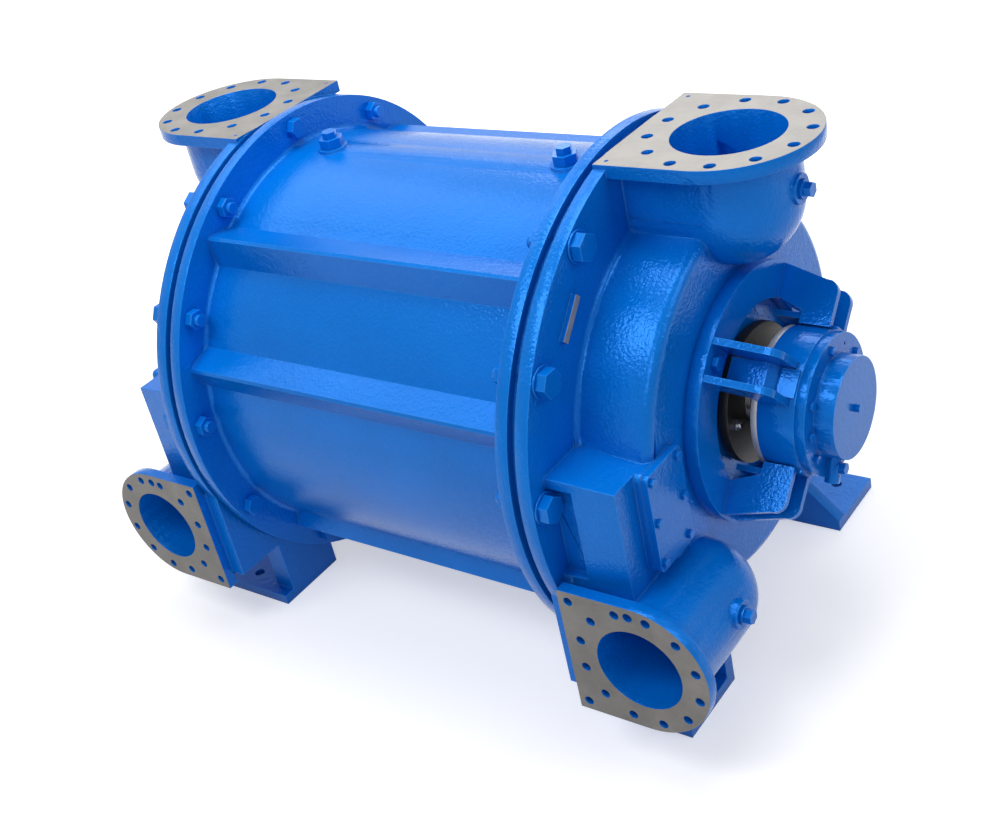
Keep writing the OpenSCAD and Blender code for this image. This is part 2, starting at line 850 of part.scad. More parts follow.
// Port cone with its flange, tube, ribs and ports
module port_cone() difference() {
    union() {
        rod(cone_flange_r, head_face, head_face + cone_flange_t);
        taper(cone_tip_r, cone_base_r, cone_reach, head_face + over);
    }
    difference() {
        taper(cone_tip_r - cone_wall, cone_base_r - cone_wall,
            cone_reach + cone_tip_t, head_face + cone_flange_t + over);
        rod(cone_tube_r + cone_tube_t, cone_reach, head_face + cone_flange_t + 2 * over);
        for (a = cone_rib_angles) rotate([a, 0, 0])
            translate([cone_reach, 0, -cone_rib_t / 2])
                cube([head_face + cone_flange_t + 2 * over - cone_reach, cone_base_r, cone_rib_t]);
    }
    rod(cone_tube_r, cone_reach - over, head_face + cone_flange_t + over);
    for (a = concat(suction_angles, discharge_angles)) along_x(cone_reach + cone_port_x,
        cone_reach + cone_port_x + cone_port_l) difference() {
            wedge(2 * cone_base_r, a, cone_port_span);
            circle(cone_tube_r + 2 * cone_tube_t);
        }
    for (i = [0 : cone_screw_count - 1]) around(cone_screw_pcr, (i + 0.5) * 360 / cone_screw_count) {
        rod(cone_screw_d / 2 + fit, head_face - over, head_face + cone_flange_t + over);
        rod(cone_screw_head_r + fit, head_face - over, head_face + cone_screw_head_h + seat_gap);
    }
}

module port_cone_nde() color(dark_grey) at_nde() port_cone();

module port_cone_de() color(dark_grey) at_de() port_cone();

// Countersunk-in screws of the port cones
module cone_screws() color(steel_grey) at_both() for (i = [0 : cone_screw_count - 1])
    around(cone_screw_pcr, (i + 0.5) * 360 / cone_screw_count) {
        rod(cone_screw_head_r, head_face + seat_gap, head_face + cone_screw_head_h + seat_gap);
        rod(cone_screw_d / 2, head_face + cone_screw_head_h, head_face + cone_screw_l);
    }

// Bolts through both flanges, and shorter ones into the head where its castings are in the way
module flange_bolts() color(blue) at_both() {
    for (a = through_bolt_angles) around(flange_bolt_pcr, a) {
        hex_rod(flange_head_af, head_front + flange_washer_t, head_front + flange_washer_t + flange_head_h);
        rod(flange_bolt_d / 2, body_half - body_flange_t - flange_nut_h - bolt_tail,
            head_front + flange_washer_t + over);
    }
    for (a = blind_bolt_angles) around(flange_bolt_pcr, a) {
        hex_rod(flange_nut_af, body_half - body_flange_t - flange_nut_h, body_half - body_flange_t);
        rod(flange_bolt_d / 2, body_half - body_flange_t - over, head_face + blind_bolt_deep);
    }
}

module flange_washers() color(blue) at_both() for (a = through_bolt_angles)
    around(flange_bolt_pcr, a)
        tube(flange_washer_d / 2, flange_bolt_d / 2 + fit, head_front, head_front + flange_washer_t);

module flange_nuts() color(blue) at_both() for (a = through_bolt_angles)
    around(flange_bolt_pcr, a) difference() {
        hex_rod(flange_nut_af, body_half - body_flange_t - flange_nut_h, body_half - body_flange_t);
        rod(flange_bolt_d / 2 + fit, body_half - body_flange_t - flange_nut_h - over,
            body_half - body_flange_t + over);
    }

// Gasket outline of a hand-hole, at the middle of its pad
module handhole_plate(x0, x1, open) translate([0, -pad_y, pad_z]) difference() {
    along_x(x0, x1) difference() {
        round_plate(pad_w, pad_h, pad_r);
        if (open) square([hole_w, hole_h], center = true);
    }
    cover_places() rod(cover_bolt_d / 2 + fit, x0 - over, x1 + over);
}

module handhole_gaskets() color(gasket_grey) at_both()
    handhole_plate(box_x + pad_t, box_x + pad_t + handhole_gasket_t, true);

// Hand-hole cover plate
module handhole_cover() handhole_plate(box_x + pad_t + handhole_gasket_t,
    box_x + pad_t + handhole_gasket_t + cover_t, false);

module handhole_cover_nde() color(blue) at_nde() handhole_cover();

module handhole_cover_de() color(blue) at_de() handhole_cover();

module handhole_bolts() color(blue) at_both() translate([box_x + pad_t + handhole_gasket_t + cover_t, -pad_y, pad_z])
    cover_places() {
        hex_rod(cover_bolt_af, 0, cover_bolt_h);
        rod(cover_bolt_d / 2, -cover_t - handhole_gasket_t - cover_bolt_l + over, over);
    }

// Outline of an arm plate, along the shaft and outwards
module arm_outline() polygon(concat(
    [[ring_x - over, window_r], [ring_x - over, arm_tip_r], [arm_shoulder_x, arm_shoulder_r]],
    arc([arm_corner_x, arm_corner_top], arm_corner_r, 70, 0, 5),
    [[arm_nose_x, housing_r - edge], [housing_x, housing_r - edge], [housing_x, arm_throat_r]]));

// Outline of the web between the plates of an arm
module web_outline() polygon([
    [ring_x - over, web_r - web_t], [ring_x - over, web_r], [web_end, web_r],
    [web_foot, housing_r - edge], [housing_x, housing_r - edge], [housing_x, web_r - web_t]]);

// One channel-shaped arm pointing to +Y
module arm() {
    for (s = [-1, 1]) translate([0, 0, s * (arm_w - arm_t) / 2 - arm_t / 2])
        linear_extrude(arm_t) arm_outline();
    translate([0, 0, arm_t - arm_w / 2 - over]) linear_extrude(arm_w - 2 * arm_t + 2 * over) web_outline();
    translate([housing_end - housing_pad_l, 0, -arm_w / 2 + arm_t + edge])
        cube([housing_pad_l - edge, housing_r + housing_pad_h, arm_w - 2 * arm_t - 2 * edge]);
}

// Bearing bracket
module bracket() difference() {
    union() {
        tube(ring_r, window_r, drum_x, ring_x);
        rod(housing_r, housing_x, housing_end);
        for (a = arm_angles) rotate([a, 0, 0]) arm();
    }
    rod(housing_bore_r, housing_x - over, housing_end + over);
    for (a = arm_angles) around(bracket_bolt_pcr, a)
        rod(bracket_bolt_d / 2 + fit, drum_x - over, ring_x + over);
    for (a = cap_bolt_angles) around(cap_bolt_pcr, a)
        rod(cap_bolt_d / 2 + fit, housing_end - cap_bolt_l + cap_flange_t - over, housing_end + over);
}

module bracket_nde() color(blue) at_nde() bracket();

module bracket_de() color(blue) at_de() bracket();

module bracket_bolts() color(blue) at_both() for (a = arm_angles) around(bracket_bolt_pcr, a) {
    hex_rod(bracket_bolt_af, ring_x, ring_x + bracket_bolt_h);
    rod(bracket_bolt_d / 2, ring_x - bracket_bolt_l, ring_x + over);
}

// Inner bearing cap with its ground rim
module inner_cap() difference() {
    union() {
        rod(inner_cap_r, housing_x - inner_cap_t, housing_x);
        rod(bearing_od / 2, housing_x - over, housing_x + cap_spigot);
    }
    rod(shoulder_r + end_gap, housing_x - inner_cap_t - over, housing_x + cap_spigot + over);
}

module inner_cap_nde() color(ground_grey) at_nde() inner_cap();

module inner_cap_de() color(ground_grey) at_de() inner_cap();

// Place of the drain plug on the boss of the outer cap
module drain_place() around(cap_flange_r - drain_plug_in, drain_angle)
    translate([cap_x + drain_x, 0, 0]) children();

// Radial bar of the drain boss from radius r0 to r1
module drain_bar(r, r0, r1) around(r0, drain_angle)
    translate([cap_x + drain_x, 0, 0]) rotate([-90, 0, 0]) cylinder(r = r, h = r1 - r0);

// Outer bearing cap without its middle opening
module outer_cap() difference() {
    union() {
        rod(cap_flange_r, housing_end, cap_x);
        taper(cap_r + cap_draft, cap_r, cap_x - over, cap_end);
        rod(bearing_od / 2, housing_end - cap_spigot, housing_end + over);
        drain_bar(drain_r, 0, cap_flange_r + drain_out);
        drain_place() rod(drain_pad_r, 0, drain_r);
    }
    rod(cap_cavity_r, housing_end - cap_spigot - over, cap_end - cap_wall);
    for (a = cap_bolt_angles) around(cap_bolt_pcr, a)
        rod(cap_bolt_d / 2 + fit, housing_end - over, cap_x + over);
    for (a = jack_angles) around(cap_bolt_pcr, a) rod(jack_hole_d / 2, housing_end - over, cap_x + over);
    drain_bar(drain_tail_r / 2, cap_cavity_r - over, cap_flange_r - drain_plug_in);
    drain_place() rod(drain_tail_r + fit, 0, drain_r + over);
}

module outer_cap_nde() color(blue) at_nde() difference() {
    outer_cap();
    rod(cap_plug_d / 2 + fit, cap_end - cap_wall - over, cap_end + over);
}

module outer_cap_de() color(blue) at_de() difference() {
    outer_cap();
    rod(seal_r + fit, cap_end - seal_t, cap_end + over);
    rod(drive_d / 2 + over + end_gap, cap_end - cap_wall - over, cap_end + over);
}

// Lip seal round the drive end
module cap_seal() color(dark_grey) at_de()
    tube(seal_r, drive_d / 2 + over + seal_gap, cap_end - seal_t, cap_end);

module cap_bolts() color(blue) at_both() for (a = cap_bolt_angles) around(cap_bolt_pcr, a) {
    hex_rod(cap_bolt_af, cap_x, cap_x + cap_bolt_h);
    rod(cap_bolt_d / 2, cap_x - cap_bolt_l, cap_x + over);
}

module cap_plug() color(blue) at_nde() {
    hex_rod(cap_plug_af, cap_end, cap_end + cap_plug_h);
    rod(cap_plug_d / 2, cap_end - cap_plug_l, cap_end + over);
}

// Hexagon drain plugs on the bosses of the outer caps
module cap_drains() color(blue) at_both() drain_place() {
    hex_rod(drain_af, drain_r, drain_r + drain_h);
    rod(drain_tail_r, drain_r - drain_tail_l, drain_r + over);
}

// Packing gland
module gland() difference() {
    union() {
        rod(gland_r, drum_x + gland_stand, drum_x + gland_stand + gland_t);
        rod(box_bore_r - packing_gap, drum_x - gland_nose, drum_x + gland_stand + over);
    }
    rod(sleeve_r + gland_bore_gap, drum_x - gland_nose - over, drum_x + gland_stand + gland_t + over);
    for (a = [0, 180]) around(gland_stud_r, a)
        rod(gland_stud_d / 2 + fit, drum_x, drum_x + gland_stand + gland_t + over);
}

module gland_nde() color(dark_grey) at_nde() gland();

module gland_de() color(dark_grey) at_de() gland();

module gland_studs() color(steel_grey) at_both() for (a = [0, 180]) around(gland_stud_r, a)
    rod(gland_stud_d / 2, drum_x - gland_stud_tail,
        drum_x + gland_stand + gland_t + gland_nut_h + gland_stud_tail / 2);

module gland_nuts() color(steel_grey) at_both() for (a = [0, 180]) around(gland_stud_r, a) difference() {
    hex_rod(gland_nut_af, drum_x + gland_stand + gland_t, drum_x + gland_stand + gland_t + gland_nut_h);
    rod(gland_stud_d / 2 + fit, drum_x, drum_x + gland_stand + gland_t + gland_nut_h + over);
}

// Packing ring number i, counted from the bottom of the box
module packing_ring(i) {
    start = drum_x - box_deep + packing_gap + i * (packing_w + packing_gap)
        + (i > 1 ? lantern_w + packing_gap : 0);
    tube(box_bore_r - packing_gap, sleeve_r + packing_gap, start, start + packing_w);
}

module packing_rings() color(gasket_grey) at_both() for (i = [0 : packing_count - 1]) packing_ring(i);

// Waisted lantern ring between the packing rings
module lantern_rings() color(bronze) at_both() {
    start = drum_x - box_deep + packing_gap + 2 * (packing_w + packing_gap);
    difference() {
        tube(box_bore_r - packing_gap, sleeve_r + packing_gap, start, start + lantern_w);
        tube(box_bore_r + over, lantern_r, start + lantern_w / 4, start + lantern_w * 3 / 4);
    }
}

// Outer race of a bearing
module bearing_outer() tube(bearing_od / 2, outer_race_r, bearing_in, bearing_out);

module bearing_outer_nde() color(steel_grey) at_nde() bearing_outer();

module bearing_outer_de() color(steel_grey) at_de() bearing_outer();

// Inner race of a bearing
module bearing_inner() tube(inner_race_r, bearing_r + fit, bearing_in, bearing_out);

module bearing_inner_nde() color(steel_grey) at_nde() bearing_inner();

module bearing_inner_de() color(steel_grey) at_de() bearing_inner();

// Two rows of rollers
module rollers() for (s = [-1, 1], i = [0 : roller_count - 1])
    around(roller_pcr, i * 360 / roller_count) translate([bearing_mid + s * row_x, 0, 0])
        rod(roller_r, -roller_l / 2, roller_l / 2);

module rollers_nde() color(steel_grey) at_nde() rollers();

module rollers_de() color(steel_grey) at_de() rollers();

// Cage ring between the rows
module cage() tube(cage_out_r, cage_in_r, bearing_mid - cage_t / 2, bearing_mid + cage_t / 2);

module cage_nde() color(bronze) at_nde() cage();

module cage_de() color(bronze) at_de() cage();

// Shaft steps at one end, from the impeller to the end of the thread
module shaft_end() {
    rod(shaft_mid_r, 0, sleeve_x);
    rod(sleeve_seat_r, sleeve_x - over, sleeve_end);
    rod(shoulder_r, sleeve_end - over, bearing_in);
    rod(bearing_r, bearing_in - over, bearing_out);
    rod(thread_r, bearing_out - over, thread_end);
}

// Shaft with its drive end
module shaft() color(steel_grey) on_axis() difference() {
    union() {
        rod(shaft_r, -impeller_hub_half, impeller_hub_half);
        shaft_end();
        mirror([1, 0, 0]) {
            shaft_end();
            rod(drive_d / 2 + over, thread_end - over, drive_start);
            rod(drive_d / 2, drive_start - over, drive_end);
        }
    }
    mirror([1, 0, 0]) {
        rotate([key_angle, 0, 0])
            translate([drive_end - key_inset - key_l, -key_w / 2 - fit, drive_d / 2 - key_depth])
                cube([key_l, key_w + 2 * fit, key_depth + over]);
        rod(centre_r, drive_end - key_inset, drive_end + over);
    }
    rod(centre_r, thread_end - key_inset, thread_end + over);
}

module drive_key() color(steel_grey) at_de() rotate([key_angle, 0, 0])
    translate([drive_end - key_inset - key_l + fit, -key_w / 2, drive_d / 2 - key_depth + fit])
        cube([key_l - 2 * fit, key_w, key_h]);

// Curved blade outline
module blade() intersection() {
    translate(polar(blade_centre_r, 60)) difference() {
        circle(blade_curve_r);
        circle(blade_curve_r - blade_t);
    }
    difference() {
        circle(impeller_r - blade_tip_step);
        circle(blade_root_r);
    }
    wedge(2 * impeller_r, -10, 60);
}

// Impeller: hub, centre web, end shrouds and curved blades over the port cones
module impeller() color(bronze) on_axis() difference() {
    union() {
        rod(impeller_hub_r, -impeller_hub_half, impeller_hub_half);
        rod(impeller_r, -web_half, web_half);
        for (s = [0, 1]) mirror([s, 0, 0]) rod(impeller_r, impeller_half - shroud_t, impeller_half);
        along_x(over - impeller_half, impeller_half - over) for (i = [0 : blade_count - 1])
            rotate([0, 0, i * 360 / blade_count + blade_turn]) blade();
    }
    rod(shaft_r + fit, -impeller_half, impeller_half);
    for (s = [0, 1]) mirror([s, 0, 0]) {
        taper(cone_tip_r + cone_gap, cone_base_r + cone_gap, impeller_hub_half - over, head_face + over);
        rod(shroud_in_r, impeller_half - shroud_t - over, impeller_half + over);
    }
}

// Shaft sleeve
module sleeve() tube(sleeve_r, sleeve_seat_r + fit, sleeve_x, sleeve_end);

module sleeve_nde() color(ground_grey) at_nde() sleeve();

module sleeve_de() color(ground_grey) at_de() sleeve();

// Slinger ring on the sleeve
module slinger() {
    tube(slinger_r, sleeve_r + fit, slinger_x, slinger_x + slinger_t);
    tube(slinger_hub_r, sleeve_r + fit, slinger_x + slinger_t - over, slinger_x + slinger_t + slinger_hub_l);
}

module slinger_nde() color(dark_grey) at_nde() slinger();

module slinger_de() color(dark_grey) at_de() slinger();

// Lockwasher against the inner race
module lockwasher() tube(nut_r, thread_r + fit, bearing_out, bearing_out + lockwasher_t);

module lockwasher_nde() color(steel_grey) at_nde() lockwasher();

module lockwasher_de() color(steel_grey) at_de() lockwasher();

// Slotted locknut
module locknut() difference() {
    tube(nut_r, thread_r + fit, bearing_out + lockwasher_t, bearing_out + lockwasher_t + nut_t);
    for (i = [0 : nut_slots - 1]) rotate([i * 360 / nut_slots, 0, 0])
        translate([bearing_out, nut_r - nut_slot_d, -nut_slot_w / 2])
            cube([nut_t + lockwasher_t + over, nut_slot_d + over, nut_slot_w]);
}

module locknut_nde() color(steel_grey) at_nde() locknut();

module locknut_de() color(steel_grey) at_de() locknut();

body_casing();
head_nde();
head_de();
head_gaskets();
port_cone_nde();
port_cone_de();
cone_screws();
flange_bolts();
flange_washers();
flange_nuts();
body_bushings();
body_plugs();
neck_plugs();
discharge_plugs();
handhole_gaskets();
handhole_cover_nde();
handhole_cover_de();
handhole_bolts();
bracket_nde();
bracket_de();
bracket_bolts();
inner_cap_nde();
inner_cap_de();
outer_cap_nde();
outer_cap_de();
cap_bolts();
cap_plug();
cap_drains();
cap_seal();
gland_nde();
gland_de();
gland_studs();
gland_nuts();
packing_rings();
lantern_rings();
bearing_outer_nde();
bearing_outer_de();
bearing_inner_nde();
bearing_inner_de();
rollers_nde();
rollers_de();
cage_nde();
cage_de();
shaft();
drive_key();
impeller();
sleeve_nde();
sleeve_de();
slinger_nde();
slinger_de();
lockwasher_nde();
lockwasher_de();
locknut_nde();
locknut_de();
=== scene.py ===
import json
import math

import bpy
from mathutils import Matrix, Vector


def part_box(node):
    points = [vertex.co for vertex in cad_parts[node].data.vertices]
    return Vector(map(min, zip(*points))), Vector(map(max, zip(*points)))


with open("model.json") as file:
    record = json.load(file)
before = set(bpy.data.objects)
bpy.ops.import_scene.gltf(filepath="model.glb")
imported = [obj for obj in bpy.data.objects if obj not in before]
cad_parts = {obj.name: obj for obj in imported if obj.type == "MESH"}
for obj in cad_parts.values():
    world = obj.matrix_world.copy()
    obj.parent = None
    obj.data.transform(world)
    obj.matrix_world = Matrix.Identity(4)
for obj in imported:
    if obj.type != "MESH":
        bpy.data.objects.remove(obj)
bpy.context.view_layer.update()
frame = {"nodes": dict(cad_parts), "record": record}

# Units and the picture's frame
MM = 0.001
PICTURE_W = 1000
SENSOR_MM = 36

# Camera, from the lens and place that match the photograph
CAMERA_PLACE = Vector((2175.7, -2497.1, 2387.5)) * MM
CAMERA_AZIMUTH = 41.704
CAMERA_ELEVATION = 30.281
CAMERA_ROLL = -13.076
FOCAL_PX = 1419.7

# Places read from the frame
INLET_FACE_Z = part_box("head_nde")[1].z
MOUNTS = {mount["name"]: mount["pos_m"] for mount in frame["record"]["mounts"]}
DISCHARGE_FACE_Y = MOUNTS["discharge_nde"][1]
HEAD_FACE_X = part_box("head_gaskets")[1].x
SHAFT = Vector((0, 0, 0))
SHAFT.y = sum(corner.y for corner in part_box("shaft")) / 2
SHAFT.z = sum(corner.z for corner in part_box("shaft")) / 2

# Paint and metal colours
PAINT_DEEP = "#006BC8"
PAINT_LIGHT = "#0075D8"
# Painted shade: a darker blue mixed into hollow corners that ambient occlusion finds
CORNER_PAINTED_SHADE_COLOUR = "#003C86"
PAINT_SHEEN = "#9CCBFF"
# Painted highlight: a lighter blue laid on outer edges and on the crests of the orange peel
PAINT_HIGHLIGHT = "#2E8CEB"
EDGE_HIGHLIGHT_WIDTH = 5 * MM
CREST_HIGHLIGHT_SHARE = 0.06
# Orange peel cells are a few millimetres wide; they are drawn a little larger so that they show
PEEL_SIZE = 7 * MM
CAST_SIZE = 20 * MM
TURNED_PITCH = 1.2 * MM
METAL_LINE_HEIGHT = 0.03 * MM
GRIND_STRETCH = (1.0, 26.0, 26.0)
# Sizes of the slow changes of tone over paint and metal, in metres
PAINT_DRIFT = 0.37
GLOSS_DRIFT = 0.07
GROUND_SMEAR = 0.09
TURNED_SMEAR = 0.05
# Noise runs from about 0.3 to 0.7, so ramps over it end there
LOW, HIGH = 0.3, 0.7
PAINT_GLOSS = (0.09, 0.15)
PAINT_METALLIC = 0.12
PAINT_SPECULAR = 0.26
# Share of the painted shade laid into hollow corners
CORNER_SHADE = 0.4
# Share of the painted highlight on outer edges
EDGE_HIGHLIGHT_SHARE = 0.8

# Nodes that take the finer skin of the bearing castings
FINE_CASTINGS = ("bracket_nde", "bracket_de", "outer_cap_nde", "outer_cap_de", "handhole_cover_nde",
                 "handhole_cover_de")

# Rounding asked for at the edges of each node, in millimetres. Tiny edges hold it back almost
# wholly on the body casing, brackets, outer caps and covers.
ROUNDING = {
    "body_casing": 1.6, "head_nde": 1.2, "head_de": 1.2, "bracket_nde": 2.5, "bracket_de": 2.5,
    "outer_cap_nde": 2, "outer_cap_de": 2, "handhole_cover_nde": 1.5, "handhole_cover_de": 1.5,
}
SMALL_ROUNDING = 0.8
# The heads round freely; the same freedom tears the brackets
FREE_ROUNDING = ("head_nde", "head_de")
WELD = 0.01 * MM
FLAT_ANGLE = math.radians(0.6)
SHARP_ANGLE = math.radians(28)
ROUNDING_SEGMENTS = 2

# How far a face's centre may lie from the plane that it is picked by
FACE_SKIN = 0.3 * MM
LUG_FACE_X = 0.580
LUG_ABOVE_SHAFT = 0.25
FACING = 0.9

# Share of white seen on the floor besides the light that falls there, near the pump, and how far
# out it has risen to full white
FLOOR_LIFT = 0.5
FLOOR_NEAR = 1.2
FLOOR_FAR = 3.4
FLOOR_COLOUR = "#E4E4E4"
FLOOR_SIZE = 60
WHITE = "#FFFFFF"

# Soft boxes: place, size in metres and power in watts, all turned to the pump's middle
MIDDLE = (0, 0, 0.65)
LAMPS = {
    "overhead": ((0.2, 0.3, 4.6), (2.6, 2.2), 94),
    "ceiling_left": ((-2.6, 0.5, 4.4), (2.6, 2.2), 28),
    "high_front": ((-0.6, -2.6, 4.2), (2.4, 1.6), 72),
    "front_right": ((2.6, -3.6, 3.4), (1.8, 1.6), 38),
    "side_high": ((4.0, 0.6, 3.2), (1.8, 2.0), 34),
    "back": ((-1.0, 3.8, 3.4), (3.6, 1.4), 36),
}
WORLD_LIGHT = 0.12


def linear(code):
    """A hex sRGB colour as linear red, green, blue and alpha."""
    parts = [int(code[i:i + 2], 16) / 255 for i in (1, 3, 5)]
    return [c / 12.92 if c <= 0.04045 else ((c + 0.055) / 1.055) ** 2.4 for c in parts] + [1]


def add(tree, kind, links=(), **settings):
    """Adds a node; settings name its properties or inputs, links give what feeds its inputs."""
    node = tree.nodes.new(kind)
    for name, value in settings.items():
        if hasattr(node, name):
            setattr(node, name, value)
        else:
            node.inputs[name.replace("_", " ")].default_value = value
    for socket, source in dict(links).items():
        tree.links.new(source, node.inputs[socket])
    return node


def new_material(name):
    """An empty node material with a Principled shader on its output."""
    material = bpy.data.materials.new(name)
    material.use_nodes = True
    tree = material.node_tree
    tree.nodes.clear()
    shader = add(tree, "ShaderNodeBsdfPrincipled")
    add(tree, "ShaderNodeOutputMaterial", {"Surface": shader.outputs["BSDF"]})
    return material, tree, shader


def ramp(tree, source, stops):
    """A colour ramp over pairs of place and colour or grey."""
    node = add(tree, "ShaderNodeValToRGB", {"Fac": source})
    elements = node.color_ramp.elements
    while len(elements) < len(stops):
        elements.new(0.5)
    for element, (place, colour) in zip(elements, stops):
        element.position = place
        element.color = linear(colour) if isinstance(colour, str) else [colour] * 3 + [1]
    return node.outputs["Color"]


def place_of(tree, centre=(0, 0, 0), turn=(0, 0, 0)):
    """Object coordinates measured from a point, turned if asked."""
    where = add(tree, "ShaderNodeTexCoord").outputs["Object"]
    return add(tree, "ShaderNodeMapping", {"Vector": where}, vector_type="TEXTURE",
               Location=centre, Rotation=turn).outputs["Vector"]


def noise(tree, where, size, detail=2.0, roughness=0.5):
    """Noise whose blobs are about size metres apart."""
    return add(tree, "ShaderNodeTexNoise", {"Vector": where}, Scale=1 / size, Detail=detail,
               Roughness=roughness).outputs["Fac"]


def maths(tree, operation, a, b=None):
    """A Math node over sockets or numbers."""
    node = add(tree, "ShaderNodeMath", operation=operation)
    for socket, value in zip(node.inputs, (a, b)):
        if isinstance(value, bpy.types.NodeSocket):
            tree.links.new(value, socket)
        elif value is not None:
            socket.default_value = value
    return node.outputs["Value"]


def mix(tree, share, a, b):
    """A colour mix over sockets or hex colours."""
    node = add(tree, "ShaderNodeMix", data_type="RGBA")
    for socket, value in zip((node.inputs[0], node.inputs[6], node.inputs[7]), (share, a, b)):
        if isinstance(value, bpy.types.NodeSocket):
            tree.links.new(value, socket)
        else:
            socket.default_value = linear(value) if isinstance(value, str) else value
    return node.outputs[2]


def blue_enamel(name, skin_mm, fillet_mm):
    """Two-pack blue enamel sprayed over cast iron or steel: deep gloss broken up by orange peel.

    skin_mm is how high the pebbled skin stands. Hollow corners are rounded in shading by fillet_mm,
    as the moulder's fillets and the gathered paint round them, and are darkened by painted shade.
    Outer edges and the crests of the peel are lightened by a painted highlight.
    """
    material, tree, shader = new_material(name)
    where = place_of(tree)
    peel = noise(tree, where, PEEL_SIZE, 2, 0.5)
    crowd = add(tree, "ShaderNodeAmbientOcclusion", samples=4, Distance=2.5 * fillet_mm * MM)
    corner = ramp(tree, crowd.outputs["AO"], [(0.45, 1.0), (0.8, 0.0)])
    drift = noise(tree, where, PAINT_DRIFT, 3)
    paint = ramp(tree, drift, [(LOW, PAINT_DEEP), (HIGH, PAINT_LIGHT)])
    # Painted highlight on the crests of the peel
    crest = ramp(tree, peel, [(0.5, 0.0), (0.75, skin_mm * CREST_HIGHLIGHT_SHARE)])
    paint = mix(tree, crest, paint, PAINT_HIGHLIGHT)
    # Painted shade: hollow corners darkened towards the corner shade colour
    paint = mix(tree, maths(tree, "MULTIPLY", corner, CORNER_SHADE), paint, CORNER_PAINTED_SHADE_COLOUR)
    flat = add(tree, "ShaderNodeNewGeometry").outputs["Normal"]
    # Painted highlight along outer edges, found from a bevel normal and held off in hollow corners
    edge_normal = add(tree, "ShaderNodeBevel", samples=4, Radius=EDGE_HIGHLIGHT_WIDTH).outputs["Normal"]
    bend = add(tree, "ShaderNodeVectorMath", {0: edge_normal, 1: flat},
               operation="DOT_PRODUCT").outputs["Value"]
    edge = ramp(tree, bend, [(0.84, 1.0), (0.975, 0.0)])
    open_share = maths(tree, "SUBTRACT", EDGE_HIGHLIGHT_SHARE, maths(tree, "MULTIPLY", corner, EDGE_HIGHLIGHT_SHARE))
    edge = maths(tree, "MULTIPLY", edge, open_share)
    tree.links.new(mix(tree, edge, paint, PAINT_HIGHLIGHT), shader.inputs["Base Color"])
    cast = noise(tree, where, CAST_SIZE, 3, 0.6)
    skin = maths(tree, "ADD", maths(tree, "MULTIPLY", peel, 0.6),
                 maths(tree, "MULTIPLY", cast, 0.4))
    round_off = add(tree, "ShaderNodeBevel", samples=4, Radius=fillet_mm * MM)
    form = add(tree, "ShaderNodeMix", data_type="VECTOR")
    tree.links.new(corner, form.inputs[0])
    tree.links.new(flat, form.inputs[4])
    tree.links.new(round_off.outputs["Normal"], form.inputs[5])
    bump = add(tree, "ShaderNodeBump", {"Height": skin, "Normal": form.outputs[1]}, Strength=1.0,
               Distance=skin_mm * MM)
    tree.links.new(bump.outputs["Normal"], shader.inputs["Normal"])
    gloss = ramp(tree, noise(tree, where, GLOSS_DRIFT, 3), list(zip((LOW, HIGH), PAINT_GLOSS)))
    tree.links.new(gloss, shader.inputs["Roughness"])
    shader.inputs["Metallic"].default_value = PAINT_METALLIC
    shader.inputs["Specular IOR Level"].default_value = PAINT_SPECULAR
    shader.inputs["Specular Tint"].default_value = linear(PAINT_SHEEN)
    return material


def ground_iron(name, dark, light):
    """Ground grey iron: warm grey with fine straight grinding lines and handling marks."""
    material, tree, shader = new_material(name)
    where = place_of(tree)
    lines = add(tree, "ShaderNodeMapping", {"Vector": where},
                Scale=GRIND_STRETCH).outputs["Vector"]
    grain = noise(tree, lines, 0.03, 4, 0.6)
    smear = noise(tree, where, GROUND_SMEAR, 4, 0.6)
    tone = maths(tree, "ADD", maths(tree, "MULTIPLY", grain, 0.4),
                 maths(tree, "MULTIPLY", smear, 0.6))
    tree.links.new(ramp(tree, tone, [(LOW, dark), (HIGH, light)]), shader.inputs["Base Color"])
    tree.links.new(ramp(tree, tone, [(LOW, 0.34), (HIGH, 0.5)]), shader.inputs["Roughness"])
    shader.inputs["Metallic"].default_value = 0.55
    bump = add(tree, "ShaderNodeBump", {"Height": grain}, Strength=0.6, Distance=METAL_LINE_HEIGHT)
    tree.links.new(bump.outputs["Normal"], shader.inputs["Normal"])
    return material


def bare_metal(name, dark, light, rough, turned=True, metallic=1.0):
    """Bare turned metal: fine rings round the shaft axis and a soft drift of tone."""
    material, tree, shader = new_material(name)
    where = place_of(tree, (0, SHAFT.y, SHAFT.z))
    apart = add(tree, "ShaderNodeSeparateXYZ", {"Vector": where})
    radius = maths(tree, "POWER", maths(tree, "ADD", maths(tree, "POWER", apart.outputs["Y"], 2),
                                        maths(tree, "POWER", apart.outputs["Z"], 2)), 0.5)
    ring = add(tree, "ShaderNodeCombineXYZ",
               {"X": apart.outputs["X"], "Y": radius}).outputs["Vector"]
    grain = noise(tree, ring, TURNED_PITCH, 3, 0.6)
    smear = noise(tree, where, TURNED_SMEAR, 3)
    tone = maths(tree, "ADD", maths(tree, "MULTIPLY", grain, 0.6 if turned else 0.1),
                 maths(tree, "MULTIPLY", smear, 0.4 if turned else 0.9))
    tree.links.new(ramp(tree, tone, [(LOW, dark), (HIGH, light)]), shader.inputs["Base Color"])
    gloss = ramp(tree, tone, [(LOW, rough), (HIGH, rough + 0.14)])
    tree.links.new(gloss, shader.inputs["Roughness"])
    shader.inputs["Metallic"].default_value = metallic
    bump = add(tree, "ShaderNodeBump", {"Height": grain}, Strength=0.5, Distance=METAL_LINE_HEIGHT)
    tree.links.new(bump.outputs["Normal"], shader.inputs["Normal"])
    return material


